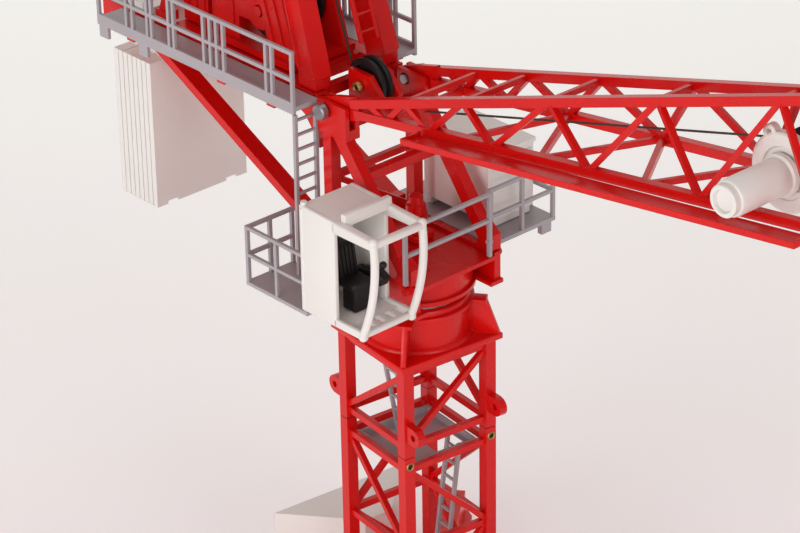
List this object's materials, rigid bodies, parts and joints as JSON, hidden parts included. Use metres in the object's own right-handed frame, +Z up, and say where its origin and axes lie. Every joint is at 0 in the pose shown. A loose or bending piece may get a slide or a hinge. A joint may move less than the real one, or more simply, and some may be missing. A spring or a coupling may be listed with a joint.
{
  "type": "luffing tower crane model",
  "caption": "Scale model of a luffing tower crane: lattice tower on a cross base, slewing upper works with cab and counterweight, luffing lattice jib, ropes and hook.",
  "frame": {"origin": "on the slewing axis at the underside of the cross base", "axes": "+Z up along the tower, +X along the jib, the cab on the -Y side"},
  "size_m": [0.6785, 0.1382, 0.371],
  "materials": {
    "red_paint": "gloss enamel",
    "white_paint": "satin enamel",
    "grey_paint": "satin enamel",
    "black_plastic": "matt moulded",
    "steel": "turned, bright",
    "brass": "turned, dull",
    "rope": "twisted thread"
  },
  "bodies": {
    "tower": {"base_cross": "red_paint", "ballast_block_rear": "white_paint", "ballast_block_front": "white_paint", "tower_base_section": "red_paint", "tower_top_section": "red_paint", "tower_platform": "grey_paint", "tower_ladder_lower": "grey_paint", "tower_ladder_upper": "grey_paint", "slewing_support": "red_paint", "slewing_ring": "steel"},
    "upperworks": {"slewing_platform": "red_paint", "slew_motor": "red_paint", "tower_head": "red_paint", "pivot_pin_near": "steel", "pivot_pin_far": "steel", "counter_jib": "red_paint", "counter_jib_strut_near": "red_paint", "counter_jib_strut_far": "red_paint", "counterweight_slab_1": "white_paint", "counterweight_slab_2": "white_paint", "counterweight_slab_3": "white_paint", "counterweight_slab_4": "white_paint", "walkway_near": "grey_paint", "walkway_far": "grey_paint", "access_ladder": "grey_paint", "a_frame": "red_paint", "mast_pin": "steel", "a_frame_ladder": "red_paint", "luffing_winch_frame": "red_paint", "luffing_gear_motor": "red_paint", "machinery_house": "red_paint", "sheave_bracket": "red_paint", "sheave_bolt": "brass", "cab_shell": "white_paint", "cab_seat": "black_plastic", "cab_console": "black_plastic", "cab_platform": "grey_paint", "front_railing": "grey_paint", "side_platform": "grey_paint", "switch_cabinet": "white_paint", "mast_rope": "rope"},
    "mast_sheave": {"mast_sheave": "black_plastic"},
    "luffing_drum": {"luffing_drum": "black_plastic"},
    "deflection_sheave": {"deflection_sheave": "black_plastic"},
    "luffing_ropes": {"luffing_falls": "rope", "head_rope": "rope"},
    "jib": {"jib_foot": "red_paint", "jib_middle": "red_paint", "jib_tip": "red_paint", "jib_walkway": "red_paint", "hoist_gearbox": "white_paint", "hoist_motor": "white_paint", "hoist_rope": "rope"},
    "hoist_drum": {"hoist_drum": "black_plastic"},
    "tip_sheave": {"tip_sheave": "black_plastic"},
    "pendants": {"pendant_bars": "red_paint"},
    "hoist_line": {"hoist_falls": "rope"},
    "hook_block": {"hook_block": "red_paint"},
    "hook_sheave": {"hook_sheave": "black_plastic"},
    "hook": {"hook": "steel"}
  },
  "joints": [
    {"name": "slewing", "type": "hinge", "parent": "tower", "child": "upperworks", "pos_m": [0, 0, 0.149], "axis": [0, 0, 1], "continuous": true},
    {"name": "luffing", "type": "hinge", "parent": "upperworks", "child": "jib", "pos_m": [-0.021, 0, 0.216], "axis": [0, -1, 0], "range_deg": [0, 60]},
    {"name": "luffing_ropes_swing", "type": "hinge", "parent": "upperworks", "child": "luffing_ropes", "pos_m": [-0.072, 0, 0.362], "axis": [0, -1, 0], "range_deg": [-2, 64], "deforming": ["luffing_falls", "head_rope"]},
    {"name": "pendant_swing", "type": "hinge", "parent": "jib", "child": "pendants", "pos_m": [0.51046, 0, 0.30661], "axis": [0, -1, 0], "range_deg": [-2, 4]},
    {"name": "hoist_line_level", "type": "hinge", "parent": "jib", "child": "hoist_line", "pos_m": [0.52333, 0, 0.30851], "axis": [0, -1, 0], "range_deg": [-62, 2]},
    {"name": "luffing_drum_spin", "type": "hinge", "parent": "upperworks", "child": "luffing_drum", "pos_m": [-0.066, 0, 0.236], "axis": [0, 1, 0], "continuous": true},
    {"name": "mast_sheave_spin", "type": "hinge", "parent": "upperworks", "child": "mast_sheave", "pos_m": [-0.072, 0, 0.362], "axis": [0, 1, 0], "continuous": true},
    {"name": "hook_travel", "type": "slide", "parent": "hoist_line", "child": "hook_block", "axis": [0, 0, 1], "range_m": [0, 0.12], "deforming": ["hoist_falls"]},
    {"name": "hoist_drum_spin", "type": "hinge", "parent": "jib", "child": "hoist_drum", "pos_m": [0.17003, 0, 0.25381], "axis": [0, 1, 0], "continuous": true},
    {"name": "tip_sheave_spin", "type": "hinge", "parent": "jib", "child": "tip_sheave", "pos_m": [0.52333, 0, 0.30851], "axis": [0, 1, 0], "continuous": true},
    {"name": "deflection_sheave_spin", "type": "hinge", "parent": "upperworks", "child": "deflection_sheave", "pos_m": [-0.0215, 0, 0.2195], "axis": [0, 1, 0], "continuous": true},
    {"name": "hook_sheave_spin", "type": "hinge", "parent": "hook_block", "child": "hook_sheave", "pos_m": [0.52333, 0, 0.10851], "axis": [0, 1, 0], "continuous": true},
    {"name": "hook_swivel", "type": "hinge", "parent": "hook_block", "child": "hook", "pos_m": [0.52333, 0, 0.096], "axis": [0, 0, 1], "continuous": true}
  ],
  "couplings": [
    {"joint": "luffing_ropes_swing", "follows": "luffing", "ratio": 1.0317},
    {"joint": "pendant_swing", "follows": "luffing", "ratio": 0.0317},
    {"joint": "hoist_line_level", "follows": "luffing", "ratio": -1},
    {"joint": "luffing_drum_spin", "follows": "luffing", "ratio": 36.7},
    {"joint": "mast_sheave_spin", "follows": "luffing", "ratio": 22.9},
    {"joint": "hoist_drum_spin", "follows": "hook_travel", "rad_per_m": 232.6},
    {"joint": "tip_sheave_spin", "follows": "hook_travel", "rad_per_m": -444},
    {"joint": "deflection_sheave_spin", "follows": "hook_travel", "rad_per_m": -243},
    {"joint": "hook_sheave_spin", "follows": "hook_travel", "rad_per_m": 186}
  ]
}
